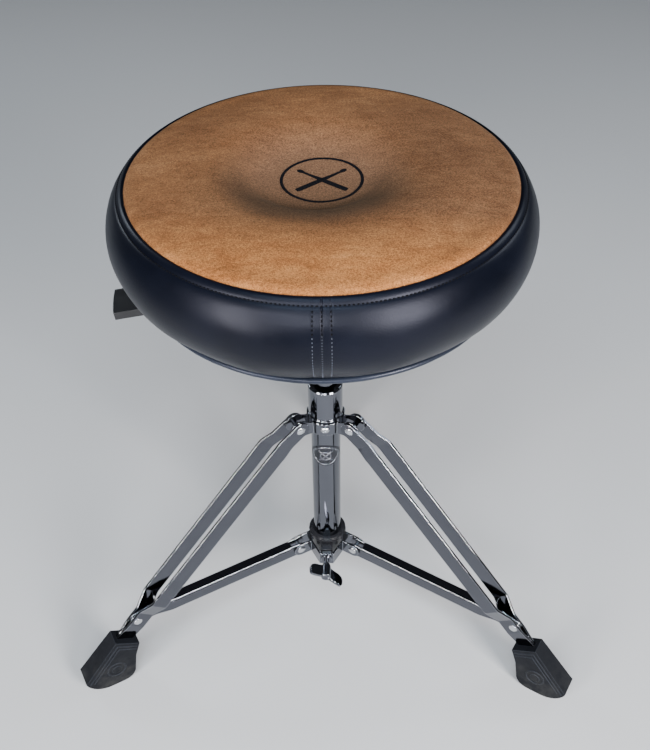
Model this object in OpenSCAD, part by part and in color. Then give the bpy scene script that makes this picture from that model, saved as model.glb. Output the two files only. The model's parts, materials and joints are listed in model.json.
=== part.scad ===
// Drum throne: a round padded seat on a gas lift, carried by a folding tripod.
// +Z is up. The origin is on the floor under the column. The rear leg runs along +Y.

/* [Seat] */
// Outside radius of the seat at its widest
seat_r = 190; // [185:1:196]
// Radius of the seam between the suede top and the side band
seam_r = 170; // [166:1:174]
// Height of that seam above the floor
seam_z = 583.5; // [578:0.5:588]
// Height at which the side band is widest
bulge_z = 540; // [536:1:544]
// Underside of the plywood seat board
board_z = 488.5; // [488:0.5:489]
// Radius of the seat board
board_r = 160.5; // [158:0.5:161]
// Thickness of the seat board
board_t = 12; // [10:1:14]
// Thickness of the suede and of the vinyl
cover_t = 2; // [1.5:0.5:2.5]
// Rise of the padding above the seam
crown_h = 5.5; // [2:0.5:8]
// Depth of the dish in the middle of the padding
dish_h = 12; // [6:1:16]
// Spread of that dish
dish_r = 60; // [50:1:70]
// Radius of the welt under the rim
piping_r = 2.6; // [2:0.1:3]
// Direction in which the release lever points, from +X
lever_turn = 188.5; // [0:0.5:360]

/* [Gas lift] */
// Outside radius of the gas cylinder
cylinder_r = 12; // [11.5:0.5:12]
// Lower end of the gas cylinder
cylinder_z = 256; // [250:1:260]
// Inside radius of the gas cylinder
chamber_r = 9.5; // [9:0.5:10]
// Radius of the piston rod
rod_r = 5; // [4.5:0.5:5.5]
// Lowest face of the lift housing
housing_z = 455; // [454.5:0.5:456]
// Radial clearance of the running fits
run = 0.05; // [0.03:0.01:0.08]

/* [Column] */
// Outside radius of the centre tube
tube_r = 15.875; // [15.8:0.025:15.9]
// Wall of the centre tube
tube_wall = 1.6; // [1.5:0.1:1.6]
// Lower end of the centre tube
tube_z = 70; // [68:1:72]
// Outside radius of the chrome collar
collar_r = 18.2; // [18:0.1:18.3]
// Top of the collar
collar_top = 338.5; // [337:0.5:339]
// Height of the badge's centre
badge_z = 244; // [242:1:246]

/* [Tripod] */
// Distance of a leg's upper pivot from the column axis
pivot_r = 34.3; // [34:0.1:35]
// Height of a leg's upper pivot
pivot_z = 291.5; // [291:0.5:292]
// Slope of the legs from the floor
leg_slope = 46.42; // [46:0.1:47]
// Height at which the leg's upper edge would meet the column axis
leg_top_z = 352.8; // [352:0.1:354]
// Width of a leg strip
strip_w = 19.5; // [18:0.5:20]
// Thickness of a leg strip
strip_t = 2.5; // [2:0.1:2.5]
// Distance of a brace's outer rivet from the column axis
brace_out_r = 244; // [243:1:245]
// Height of a brace's outer rivet
brace_out_z = 86.5; // [86:0.5:87]
// Distance of a brace's inner pivot from the column axis
brace_in_r = 38.9; // [38.5:0.1:39.5]
// Height of a brace's inner pivot
brace_in_z = 90; // [89.5:0.5:90.5]
// Depth of a brace
brace_h = 17; // [16:0.5:17]
// Outside width of a brace
brace_w = 11; // [10.5:0.5:11]
// Thickness of the pressed sheet parts
sheet_t = 2; // [1.8:0.1:2]

/* [Feet] */
// Half width of a foot at its top
foot_top_w = 9.8; // [9:0.1:10.5]
// Half width of a foot at the floor
foot_low_w = 12.7; // [12:0.1:13]
// Distance of the flat sole's inner edge from the column axis
sole_in = 276; // [275:1:278]
// Distance of the flat sole's outer edge from the column axis
sole_out = 290; // [288:1:292]

/* [Hidden] */
$fn = 64;
hair = 0.01;      // overlap that joins the shapes of one piece

chrome = "silver";
steel = "gray";
black = "#222226";
rubber = "#2a2a2c";

leg_angles = [210, 330, 90];    // left, right and rear
gap_angles = [270, 150, 30];    // the spaces between them: front, left and right

// Seat section: the side band is one arc through the seam, the widest point and the base.
band_low_z = board_z + 7.3;
band_mid = arc_centre([seam_r, seam_z], [seat_r, bulge_z], [board_r + 0.5, band_low_z]);
band_r = norm([seam_r, seam_z] - band_mid);
board_top = board_z + board_t;
cover_low_z = board_z - 1.2;

// Lift mechanism, in the frame whose X axis is the lever
plate_x = 140;
plate_y = 110;
plate_t = 3;
plate_z = cover_low_z - plate_t;
bolt_x = 55;
bolt_y = 42;
bolt_r = 3;
cone_h = 19;
cone_top_r = cylinder_r - 0.8;
cylinder_top = housing_z + cone_h;
valve_r = 3;
lever_x = 22;
lever_z = cylinder_top + 5;
lever_pin_r = 2;
lever_drop = 6;            // slope of the lever, degrees
grip_x = 140;

// Swivel bearing at the foot of the column
plug_top = tube_z + 18;
race_h = 3;
ball_r = 3;
ball_pitch_r = 8.8;
race_up_z = plug_top + race_h + 2 * ball_r + run;
piston_z = cylinder_z + 35;

// Upper brackets
tube_top = 325;
collar_low = pivot_z - 12.5;
bracket_low = pivot_z - 11.5;
bracket_top = pivot_z + 4;
bracket_ear = 10.5;
ear_w = 6.55;              // middle plane of an ear, from the leg's middle plane
hub_strip_w = 8.9;         // middle plane of a leg strip at the bracket
rivet_r = 3;
screw_z = 289;
screw_r = 2.5;

// Leg strips, along s from the point where the upper edge meets the column axis
mid_strip_w = 12.2;
foot_strip_w = 3.9;
end_strip_w = 1.3;
strip_end_s = 411;
strip_eye = 9.5;
knee_s = 104.5;

// A strip's bends as (s, middle plane): it bows out between the bracket and the foot
strip_bends = [[30, hub_strip_w], [90, hub_strip_w], [104, mid_strip_w], [328, mid_strip_w],
               [348, foot_strip_w], [368, foot_strip_w], [387, end_strip_w], [strip_end_s + 10, end_strip_w]];

// Side view of a foot: cut square to the leg at the top, with a rocking sole
foot_tip = [274.5, 71];
foot_toe = [318, 21.5];
foot_heel = [260.2, 17];
foot_back = [249, 55];
foot_disc = [281, 26];

// Braces, as distances from the column axis
brace_sheet = 1.6;
brace_end_w = 5;
brace_end_r = 7;
brace_pinch = [203, 221];
brace_web = [50, 226];
brace_top = brace_in_z + brace_h / 2;

// Lower slider
slider_h = 17.5;
slider_r = 20;
slider_ear_w = 6.6;
slider_pin_r = 2.5;
nose_y = 38.3;
nose_half = 8;
clamp_z = brace_in_z;
slider_low = brace_in_z - slider_h / 2;

function arc_centre(a, b, c) =
    let (d = 2 * (a.x * (b.y - c.y) + b.x * (c.y - a.y) + c.x * (a.y - b.y)))
    [((a * a) * (b.y - c.y) + (b * b) * (c.y - a.y) + (c * c) * (a.y - b.y)) / d,
     ((a * a) * (c.x - b.x) + (b * b) * (a.x - c.x) + (c * c) * (b.x - a.x)) / d];

// Height of the padded top at a distance from the axis
function top_z(r) = seam_z + crown_h * (1 - pow(r / seam_r, 4)) - dish_h * exp(-pow(r / dish_r, 2));

// The point at a distance along and across the leg
function leg_point(a, t) =
    [a * cos(leg_slope) + t * sin(leg_slope), leg_top_z - a * sin(leg_slope) + t * cos(leg_slope)];

// A flat bar between two points of a plane, with round ends
module bar2d(a, b, t) {
    translate(a) circle(d = t);
    translate(b) circle(d = t);
    translate(a) rotate(atan2(b.y - a.y, b.x - a.x)) translate([0, -t / 2]) square([norm(b - a), t]);
}

function unit(v) = v / norm(v);
function left_of(v) = [-v.y, v.x];
function turned(list) = [for (i = [len(list) - 1 : -1 : 0]) list[i]];

// Mitre of a bent line at its point i, for a line of half thickness 1
function mitre(points, i) =
    let (last = len(points) - 1,
         before = unit(left_of(points[max(i, 1)] - points[max(i, 1) - 1])),
         after = unit(left_of(points[min(i, last - 1) + 1] - points[min(i, last - 1)])))
    (before + after) / (1 + before * after);

// A bent line of even thickness with mitred corners
module path2d(points, t) {
    mitres = [for (i = [0 : len(points) - 1]) t / 2 * mitre(points, i)];
    polygon(concat(points + mitres, turned(points - mitres)));
}

module ring(r_in, r_out, z, h) {
    translate([0, 0, z]) difference() {
        cylinder(r = r_out, h = h);
        translate([0, 0, -1]) cylinder(r = r_in, h = h + 2);
    }
}

module box(x, y, z) {
    translate([x[0], y[0], z[0]]) cube([x[1] - x[0], y[1] - y[0], z[1] - z[0]]);
}

// Stands a drawing of (distance, height) up in the plane of a leg, w thick about w0
module leg_plane(w0, w) {
    translate([0, w0 + w / 2, 0]) rotate([90, 0, 0]) linear_extrude(w) children();
}

// A pin across a leg's plane
module cross_pin(r, at, w) {
    translate([at.x, w / 2, at.y]) rotate([90, 0, 0]) cylinder(r = r, h = w);
}

// A low dome of a rivet or screw, its flat side at z = 0
module dome(r, h) {
    ball = (r * r + h * h) / (2 * h);
    intersection() {
        translate([0, 0, h - ball]) sphere(r = ball);
        cylinder(r = r + 1, h = h + 1);
    }
}

// ---- column ----

module center_tube() color(chrome) difference() {
    ring(tube_r - tube_wall, tube_r, tube_z, tube_top - tube_z);
    for (a = gap_angles) rotate(a) translate([0, 0, screw_z]) rotate([0, 90, 0])
        cylinder(r = screw_r, h = 30);
}

module top_collar() color(chrome) difference() {
    rotate_extrude() polygon([
        [tube_r + 0.02, collar_low], [collar_r, collar_low], [collar_r, bracket_top],
        [collar_r + 0.6, bracket_top + 0.4], [collar_r + 0.6, bracket_top + 2.6],
        [collar_r - 0.8, bracket_top + 3], [collar_r - 0.8, bracket_top + 4.6],
        [collar_r, bracket_top + 5.4], [collar_r, collar_top - 1.6],
        [collar_r - 1, collar_top], [collar_r - 1.6, collar_top],
        [collar_r - 1.6, tube_top], [tube_r + 0.02, tube_top],
    ]);
    for (a = gap_angles) rotate(a) translate([0, 0, screw_z]) rotate([0, 90, 0])
        cylinder(r = screw_r, h = 30);
}

module guide_bushing() color(black) {
    ring(cylinder_r + run, tube_r - tube_wall - 0.05, 262, tube_top - 262 + hair);
    ring(cylinder_r + run, collar_r - 1.7, tube_top + hair, 10);
}

module badge_plate() color(steel) intersection() {
    ring(tube_r + 0.02, tube_r + 0.9, badge_z - 20, 40);
    translate([0, 0, badge_z]) rotate([90, 0, 0]) cylinder(r = 15.2, h = 40);
}

// Side view of an ear: a round end about the pivot and a body back to the column
module ear_side(pin, ear, low, top) {
    translate(pin) circle(r = ear);
    polygon([[8, low], [8, top], [21, top], [pin.x - 5, pin.y + ear - 2.5], [pin.x, pin.y + ear - 1],
             [pin.x, pin.y - ear], [pin.x - 10, low]]);
}

// A sheet bent round the column between two legs, centred on +X, its ends standing out as ears
module wrap_plan(mid_r, ear_mid) {
    bend = asin(ear_mid / mid_r);
    half = 60 - bend;
    intersection() {
        difference() {
            circle(r = mid_r + sheet_t / 2);
            circle(r = mid_r - sheet_t / 2);
        }
        polygon([[0, 0], 40 * [cos(half), -sin(half)], [60, -40], [60, 40], 40 * [cos(half), sin(half)]]);
    }
    for (side = [-1, 1]) rotate(side * 60)
        bar2d([mid_r * cos(bend), -side * ear_mid], [60, -side * ear_mid], sheet_t);
}

module upper_bracket(angle) color(steel) difference() {
    intersection() {
        rotate(angle) translate([0, 0, bracket_low - 5]) linear_extrude(40)
            wrap_plan(collar_r + 0.05 + sheet_t / 2, ear_w);
        union() {
            ring(10, 23.5, bracket_low, bracket_top - bracket_low);
            for (a = leg_angles) rotate(a) leg_plane(0, 24)
                ear_side([pivot_r, pivot_z], bracket_ear, bracket_low, bracket_top);
        }
    }
    for (a = leg_angles) rotate(a) cross_pin(rivet_r + 0.01, [pivot_r, pivot_z], 40);
    rotate(angle) translate([0, 0, screw_z]) rotate([0, 90, 0]) cylinder(r = screw_r + 0.1, h = 30);
}

module bracket_front() upper_bracket(gap_angles[0]);
module bracket_left() upper_bracket(gap_angles[1]);
module bracket_right() upper_bracket(gap_angles[2]);

module bracket_screws() color(chrome) for (a = gap_angles) rotate(a) {
    seat_face = collar_r + 0.07 + sheet_t;
    translate([0, 0, screw_z]) rotate([0, 90, 0]) {
        translate([0, 0, 14.4]) cylinder(r = screw_r - 0.01, h = seat_face - 14.4 + hair);
        translate([0, 0, seat_face]) difference() {
            dome(5, 3.4);
            for (t = [0, 90]) rotate(t) translate([-2.4, -0.45, 2]) cube([4.8, 0.9, 3]);
        }
    }
}

// A rivet through both strips of a leg, with a dome on each side
module long_rivet(r, at, half) {
    cross_pin(r, at, 2 * half + hair);
    for (side = [-1, 1]) translate([at.x, side * half, at.y]) rotate([-side * 90, 0, 0]) dome(5, 1.6);
}

module bracket_pins() color(chrome) for (a = leg_angles) rotate(a)
    cross_pin(rivet_r, [pivot_r, pivot_z], 2 * ear_w + sheet_t);

module base_plug() color(black) {
    ring(rod_r + run, tube_r - tube_wall - 0.05, tube_z - hair, plug_top - tube_z + hair);
    ring(rod_r + run, tube_r - 0.1, tube_z - 4, 4);
}

module bearing_race_lower() color(steel) ring(rod_r + 0.6, 12, plug_top, race_h);

module bearing_balls() color(chrome) for (a = [0 : 45 : 315])
    rotate(a) translate([ball_pitch_r, 0, plug_top + race_h + ball_r]) sphere(r = ball_r);

// ---- piston rod, which turns with the seat ----

module piston_rod() color(chrome) rotate_extrude() polygon([
    [0, tube_z - 10], [rod_r - 0.6, tube_z - 10], [rod_r, tube_z - 9.4], [rod_r, tube_z - 7],
    [rod_r - 0.8, tube_z - 7], [rod_r - 0.8, tube_z - 5.5], [rod_r, tube_z - 5.5],
    [rod_r, race_up_z + race_h], [rod_r + 2, race_up_z + race_h], [rod_r + 2, race_up_z + race_h + 4],
    [rod_r, race_up_z + race_h + 4], [rod_r, piston_z], [3.5, piston_z], [3.5, piston_z + 10],
    [0, piston_z + 10],
]);

module piston_head() color(steel) ring(3.52, chamber_r - 0.1, piston_z + 0.02, 8);

module bearing_race_upper() color(steel) ring(rod_r + 0.02, 12, race_up_z, race_h - 0.02);

module rod_clip() color(steel) ring(rod_r - 0.78, rod_r + 3, tube_z - 6.9, 1.3);

// ---- seat and gas cylinder ----

module gas_cylinder() color(chrome) difference() {
    union() {
        translate([0, 0, cylinder_z]) cylinder(r = cylinder_r, h = housing_z - cylinder_z);
        translate([0, 0, housing_z]) cylinder(r1 = cylinder_r, r2 = cone_top_r, h = cone_h);
    }
    translate([0, 0, cylinder_z - 1]) cylinder(r = chamber_r, h = cylinder_top - 12 - cylinder_z + 1);
    translate([0, 0, cylinder_z]) cylinder(r = valve_r + run, h = 300);
}

module cylinder_gland() color(black) ring(rod_r + run, chamber_r - 0.03, cylinder_z, 12);

module lift_frame() rotate(lever_turn) children();

module lift_housing() color(black) lift_frame() difference() {
    union() {
        translate([0, 0, housing_z]) cylinder(r = 21, h = plate_z - 8 - housing_z);
        box([-21, 31], [-20, 20], [cylinder_top - 4, plate_z]);
    }
    translate([0, 0, housing_z]) cylinder(r1 = cylinder_r + 0.03, r2 = cone_top_r + 0.03, h = cone_h);
    translate([0, 0, housing_z - 1]) cylinder(r = cylinder_r + 0.03, h = 1);
    box([-17, 32], [-17, 17], [cylinder_top, plate_z + 1]);
    translate([lever_x, 30, lever_z]) rotate([90, 0, 0]) cylinder(r = lever_pin_r + 0.01, h = 60);
}

module at_bolts() lift_frame() for (x = [-bolt_x, bolt_x], y = [-bolt_y, bolt_y])
    translate([x, y, 0]) children();

module seat_plate() color(black) difference() {
    lift_frame() translate([0, 0, plate_z]) linear_extrude(plate_t) {
        square([plate_x - 24, plate_y], center = true);
        square([plate_x, plate_y - 24], center = true);
        for (x = [-1, 1], y = [-1, 1]) translate([x * (plate_x / 2 - 12), y * (plate_y / 2 - 12)]) circle(r = 12);
    }
    at_bolts() translate([0, 0, plate_z - 1]) cylinder(r = bolt_r + 0.3, h = plate_t + 2);
}

module plate_bolts() color(steel) at_bolts() {
    difference() {
        translate([0, 0, plate_z - 5.2]) cylinder(r = 5.8, h = 4, $fn = 6);
        translate([0, 0, plate_z - 5.3]) cylinder(r = 3.2, h = 0.6);
    }
    translate([0, 0, plate_z - 1.2 - hair]) cylinder(r = bolt_r, h = board_top - 2 - plate_z + 1.2);
}

module bolt_washers() color(chrome) at_bolts() ring(bolt_r + 0.2, 6.5, plate_z - 1.2, 1.2 - 0.02);

module tee_nuts() color(steel) at_bolts() {
    ring(bolt_r + 0.02, 4.2, board_z + 2, board_t - 3.5);
    ring(bolt_r + 0.02, 9, board_top - 1.5 - hair, 1.5);
}

module seat_board() color("burlywood") difference() {
    translate([0, 0, board_z]) cylinder(r = board_r, h = board_t);
    at_bolts() translate([0, 0, board_z - 1]) cylinder(r = bolt_r + 0.2, h = 5);
    at_bolts() translate([0, 0, board_z + 2]) cylinder(r = 4.2, h = board_t);
    at_bolts() translate([0, 0, board_top - 1.52]) cylinder(r = 9, h = 2);
}

// The section inside the side band, inset by t
module band_disc(t) {
    translate(band_mid) circle(r = band_r - t);
    translate([0, band_mid.y - band_r + t]) square([band_mid.x, 2 * (band_r - t)]);
}

module foam_core() color("khaki") rotate_extrude() intersection() {
    band_disc(cover_t);
    polygon(concat(
        [for (r = [0 : 10 : seam_r]) [r, top_z(r) - cover_t]],
        [[seat_r, seam_z - cover_t], [seat_r, band_low_z], [board_r, band_low_z], [board_r, board_top], [0, board_top]]
    ));
}

module side_band() color(black) rotate_extrude() difference() {
    intersection() {
        band_disc(0);
        translate([board_r, band_low_z]) square([60, seam_z - cover_t - band_low_z]);
    }
    band_disc(cover_t);
}

module suede_top() color("peru") rotate_extrude() polygon(concat(
    [for (r = [0 : 10 : seam_r]) [r, top_z(r)]],
    [for (r = [seam_r : -10 : 0]) [r, top_z(r) - cover_t]]
));

// A round cord in a strip that is folded against the edge of the board
module seat_piping() color(black) translate([0, 0, band_low_z - piping_r - 1.2]) rotate_extrude() union() {
    translate([board_r + 0.8 + piping_r, 0]) circle(r = piping_r);
    translate([board_r + hair, -0.8]) square([piping_r, 1.6]);
}

module dust_cover() color(black) translate([0, 0, cover_low_z]) difference() {
    cylinder(r = board_r - 2, h = board_z - cover_low_z);
    at_bolts() translate([0, 0, -1]) cylinder(r = bolt_r + 0.2, h = 4);
}

module lever_pin() color(steel) lift_frame() translate([lever_x, 22, lever_z]) rotate([90, 0, 0])
    cylinder(r = lever_pin_r, h = 44);

// ---- release lever and valve pin ----

module lever_slope() translate([lever_x, 0, lever_z]) rotate([0, lever_drop, 0]) children();

module lever_arm() color(steel) lift_frame() difference() {
    union() {
        translate([lever_x, 5, lever_z]) rotate([90, 0, 0]) cylinder(r = 4.4, h = 10);
        box([-4, lever_x], [-4, 4], [cylinder_top + 2.6, cylinder_top + 6.4]);
        lever_slope() rotate([0, 90, 0]) cylinder(r = 3, h = 160);
    }
    translate([lever_x, 10, lever_z]) rotate([90, 0, 0]) cylinder(r = lever_pin_r + run, h = 20);
}

module lever_grip() color(black) lift_frame() lever_slope() difference() {
    translate([-lever_x, 0, -4]) linear_extrude(8) intersection() {
        circle(r = 197, $fn = 128);
        polygon([[grip_x, -7], [grip_x + 16, -15], [grip_x + 30, -18], [196, -18], [200, -14],
                 [200, 14], [196, 18], [grip_x + 30, 18], [grip_x + 16, 15], [grip_x, 7]]);
    }
    rotate([0, 90, 0]) cylinder(r = 3.02, h = 160.02);
}

module release_pin() color(chrome) {
    translate([0, 0, cylinder_top - 15]) cylinder(r = valve_r, h = 17.4);
    translate([0, 0, cylinder_top - 15.5]) cylinder(r = 5, h = 3);
}

// ---- legs ----

// Side view of a strip below its eye: a dog-leg from the pivot, then straight to the foot
module strip_outline() {
    pivot = [pivot_r, pivot_z];
    reach = strip_eye - 0.7;
    polygon([pivot + reach * [cos(238), sin(238)], pivot + reach * [cos(60), sin(60)], leg_point(knee_s, 0),
             leg_point(strip_end_s - 3, 0), leg_point(strip_end_s, -3), leg_point(strip_end_s, -strip_w),
             leg_point(knee_s + 3, -strip_w)]);
}

module leg_strip(angle, side) color(chrome) rotate(angle) difference() {
    intersection() {
        union() {
            leg_plane(side * 8, 20) strip_outline();
            translate([0, side * 8, 0]) cross_pin(strip_eye, [pivot_r, pivot_z], 20);
        }
        translate([0, 0, leg_top_z]) rotate([0, leg_slope, 0]) translate([0, 0, -40]) linear_extrude(80)
            path2d([for (p = strip_bends) [p.x, side * p.y]], strip_t);
    }
    for (at = [[pivot_r, pivot_z], [brace_out_r, brace_out_z]]) cross_pin(rivet_r + 0.01, at, 40);
}

module left_strip_near() leg_strip(leg_angles[0], 1);
module left_strip_far() leg_strip(leg_angles[0], -1);
module right_strip_near() leg_strip(leg_angles[1], -1);
module right_strip_far() leg_strip(leg_angles[1], 1);
module rear_strip_near() leg_strip(leg_angles[2], 1);
module rear_strip_far() leg_strip(leg_angles[2], -1);

// A rivet through both strips and the brace, and at the top a short one in each strip
module leg_rivets(angle) color(chrome) rotate(angle) {
    long_rivet(rivet_r, [brace_out_r, brace_out_z], foot_strip_w + strip_t / 2 + run);
    for (side = [-1, 1]) translate([pivot_r, side * (hub_strip_w - strip_t / 2), pivot_z])
        rotate([-side * 90, 0, 0]) {
            cylinder(r = rivet_r, h = strip_t + hair);
            translate([0, 0, strip_t + hair / 2]) dome(5, 1.6);
        }
}

module left_leg_rivets() leg_rivets(leg_angles[0]);
module right_leg_rivets() leg_rivets(leg_angles[1]);
module rear_leg_rivets() leg_rivets(leg_angles[2]);

// A rounded end of the sole, from an edge of its flat part
function sole_arc(edge, end, steps = 8) =
    let (run_x = end.x - edge, rad = (run_x * run_x + end.y * end.y) / (2 * end.y),
         sweep = asin(abs(run_x) / rad))
    [for (i = [0 : steps]) [edge + sign(run_x) * rad * sin(sweep * i / steps), rad * (1 - cos(sweep * i / steps))]];

module foot_outline() polygon(concat(
    [foot_back, foot_tip], turned(sole_arc(sole_out, foot_toe)), sole_arc(sole_in, foot_heel), [[256, 36.5]]
));

// Tapered slab, wider at the floor, grown by e on each side
module foot_slab(e) translate([200, 0, 0]) rotate([90, 0, 90]) linear_extrude(150) polygon([
    [-foot_low_w - e, 0], [foot_low_w + e, 0], [foot_top_w + e, foot_tip.y + 1], [-foot_top_w - e, foot_tip.y + 1],
]);

// Raised border and disc on the sides of a foot
module foot_relief() {
    path2d([[252.5, 51.3], [273.4, 64.2], [314, 18]], 1.4);
    path2d([[254.2, 47.2], [272.6, 58.6], [309, 17.5]], 1.1);
    translate(foot_disc) difference() {
        circle(r = 11);
        circle(r = 9.6);
    }
    translate(foot_disc) circle(r = 5.5);
}

module foot(angle) color(rubber) rotate(angle) difference() {
    union() {
        intersection() {
            leg_plane(0, 60) foot_outline();
            foot_slab(0);
        }
        intersection() {
            leg_plane(0, 60) intersection() {
                foot_outline();
                foot_relief();
            }
            foot_slab(0.6);
        }
    }
    pocket = end_strip_w + strip_t / 2 + 0.01;
    leg_plane(0, 2 * pocket) polygon([
        leg_point(340, 0.02), leg_point(strip_end_s + 0.1, 0.02),
        leg_point(strip_end_s + 0.1, -strip_w - 0.02), leg_point(340, -strip_w - 0.02),
    ]);
}

module left_foot() foot(leg_angles[0]);
module right_foot() foot(leg_angles[1]);
module rear_foot() foot(leg_angles[2]);

// ---- braces ----

module brace_outline() {
    translate([brace_in_r, brace_in_z]) circle(r = brace_h / 2);
    translate([brace_out_r, brace_out_z]) circle(r = brace_end_r);
    polygon([
        [brace_in_r, brace_top], [brace_web[1], brace_top], [brace_out_r, brace_out_z + brace_end_r],
        [brace_out_r, brace_out_z - brace_end_r], [brace_web[1], brace_top - brace_h],
        [brace_in_r, brace_top - brace_h],
    ]);
}

// Plan of a brace: parallel, then pinched to go between the strips
module brace_plan(t) {
    w1 = (brace_w - t) / 2;
    w2 = (brace_end_w - t) / 2;
    for (side = [-1, 1])
        path2d([[20, side * w1], [brace_pinch[0], side * w1], [brace_pinch[1], side * w2], [270, side * w2]], t);
}

module brace_fill() polygon([
    [brace_web[0], brace_w / 2 - 0.5], [brace_pinch[0], brace_w / 2 - 0.5], [brace_pinch[1], brace_end_w / 2 - 0.5],
    [brace_web[1], brace_end_w / 2 - 0.5], [brace_web[1], 0.5 - brace_end_w / 2],
    [brace_pinch[1], 0.5 - brace_end_w / 2], [brace_pinch[0], 0.5 - brace_w / 2], [brace_web[0], 0.5 - brace_w / 2],
]);

// The web's end turned up between the strips
module brace_tongue() translate([brace_web[1] - 0.6, 0, brace_top - 1]) rotate([0, -18, 0])
    rotate([90, 0, 90]) linear_extrude(brace_sheet) {
        polygon([[-2.4, 0], [2.4, 0], [5, 9], [5, 19], [3.5, 21], [-3.5, 21], [-5, 19], [-5, 9]]);
    }

module brace(angle) color(chrome) rotate(angle) difference() {
    union() {
        intersection() {
            leg_plane(0, 20) brace_outline();
            translate([0, 0, 40]) linear_extrude(100) brace_plan(brace_sheet);
        }
        translate([0, 0, brace_top - brace_sheet]) linear_extrude(brace_sheet) brace_fill();
        brace_tongue();
    }
    cross_pin(slider_pin_r + run, [brace_in_r, brace_in_z], 40);
    cross_pin(rivet_r + run, [brace_out_r, brace_out_z], 40);
}

module left_brace() brace(leg_angles[0]);
module right_brace() brace(leg_angles[1]);
module rear_brace() brace(leg_angles[2]);

// ---- slider that the braces hang on ----

// Rounds the ears of a slider sheet and drills them
module slider_cut() difference() {
    children();
    for (a = leg_angles) rotate(a) {
        cross_pin(slider_pin_r + 0.01, [brace_in_r, brace_in_z], 30);
        leg_plane(0, 30) difference() {
            translate([brace_in_r, slider_low - 1]) square([30, slider_h + 2]);
            translate([brace_in_r, brace_in_z]) circle(r = slider_h / 2);
        }
    }
}

module slider_wrap(angle) color(steel) slider_cut()
    rotate(angle) translate([0, 0, slider_low]) linear_extrude(slider_h)
        wrap_plan(slider_r + 0.05 + sheet_t / 2, slider_ear_w);

module slider_left() slider_wrap(gap_angles[1]);
module slider_right() slider_wrap(gap_angles[2]);

// Half of the front sheet, from an ear to the nose that carries the clamp screw
function nose_side(side) =
    let (angle = side * 60 - 90, out = [cos(angle), sin(angle)], shift = -side * slider_ear_w * left_of(out))
    [out * 60 + shift, out * 25 + shift, [side * (nose_half - 0.5), sheet_t / 2 - nose_y]];

module slider_front() color(steel) difference() {
    slider_cut() translate([0, 0, slider_low]) linear_extrude(slider_h)
        path2d(concat(nose_side(-1), turned(nose_side(1))), sheet_t);
    translate([0, 0, clamp_z]) rotate([90, 0, 0]) cylinder(r = 3.4, h = 60);
}

module slider_bush() color(black) difference() {
    union() {
        ring(tube_r + 0.08, slider_r, slider_low - 3, slider_h + 8);
        ring(tube_r + 0.08, slider_r + 1.6, slider_low + slider_h + 0.1, 4);
    }
    box([-5.6, 5.6], [-40, 0], [clamp_z - 5.6, clamp_z + 5.6]);
}

module slider_rivets() color(chrome) for (a = leg_angles) rotate(a)
    long_rivet(slider_pin_r, [brace_in_r, brace_in_z], slider_ear_w + sheet_t / 2 + 0.02);

module clamp_nut() color(steel) difference() {
    box([-5, 5], [-nose_y + sheet_t + 0.02, -nose_y + sheet_t + 5], [clamp_z - 5, clamp_z + 5]);
    translate([0, 0, clamp_z]) rotate([90, 0, 0]) cylinder(r = 3 + run, h = 60);
}

module clamp_block() color(black) difference() {
    union() {
        box([-7, 7], [-nose_y + 7.8, -slider_r - 0.1], [clamp_z - 7, clamp_z + 7]);
        box([-5.5, 5.5], [-slider_r - 0.2, -10], [clamp_z - 5.5, clamp_z + 5.5]);
    }
    translate([0, 0, clamp_z - 20]) cylinder(r = tube_r + 0.12, h = 40);
}

module clamp_washer() color(chrome) translate([0, -nose_y - 0.02, clamp_z]) rotate([90, 0, 0])
    ring(3.3, 6.5, 0, 1.5);

// ---- wing bolt ----

module wing_outline() polygon([
    [3, -49.5], [8, -51.5], [17, -53.5], [21, -56], [22.6, -60], [22.2, -66], [20.5, -68.5], [16, -68.2], [3, -65.5],
]);

module wing_bolt() color(chrome) translate([0, 0, clamp_z]) rotate([0, 36, 0]) {
    rotate([90, 0, 0]) translate([0, 0, nose_y - 7.6]) cylinder(r = 3, h = 18);
    rotate([90, 0, 0]) translate([0, 0, 47]) cylinder(r1 = 4.6, r2 = 5.5, h = 3);
    rotate([90, 0, 0]) translate([0, 0, 50]) cylinder(r = 5.5, h = 15);
    for (side = [0, 1]) mirror([side, 0, 0]) translate([0, 0, -1.5]) linear_extrude(3) wing_outline();
}

center_tube();
top_collar();
guide_bushing();
badge_plate();
bracket_front();
bracket_left();
bracket_right();
bracket_screws();
bracket_pins();
base_plug();
bearing_race_lower();
bearing_balls();
piston_rod();
piston_head();
bearing_race_upper();
rod_clip();
gas_cylinder();
cylinder_gland();
lift_housing();
seat_plate();
plate_bolts();
bolt_washers();
tee_nuts();
seat_board();
foam_core();
side_band();
suede_top();
seat_piping();
dust_cover();
lever_pin();
lever_arm();
lever_grip();
release_pin();
left_strip_near();
left_strip_far();
left_foot();
left_leg_rivets();
right_strip_near();
right_strip_far();
right_foot();
right_leg_rivets();
rear_strip_near();
rear_strip_far();
rear_foot();
rear_leg_rivets();
left_brace();
right_brace();
rear_brace();
slider_front();
slider_left();
slider_right();
slider_bush();
slider_rivets();
clamp_nut();
clamp_block();
clamp_washer();
wing_bolt();
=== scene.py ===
"""Looks of the drum throne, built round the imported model. Lengths are in metres."""

import json
import math

import bpy
import numpy as np
from mathutils import Matrix, Vector


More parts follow.
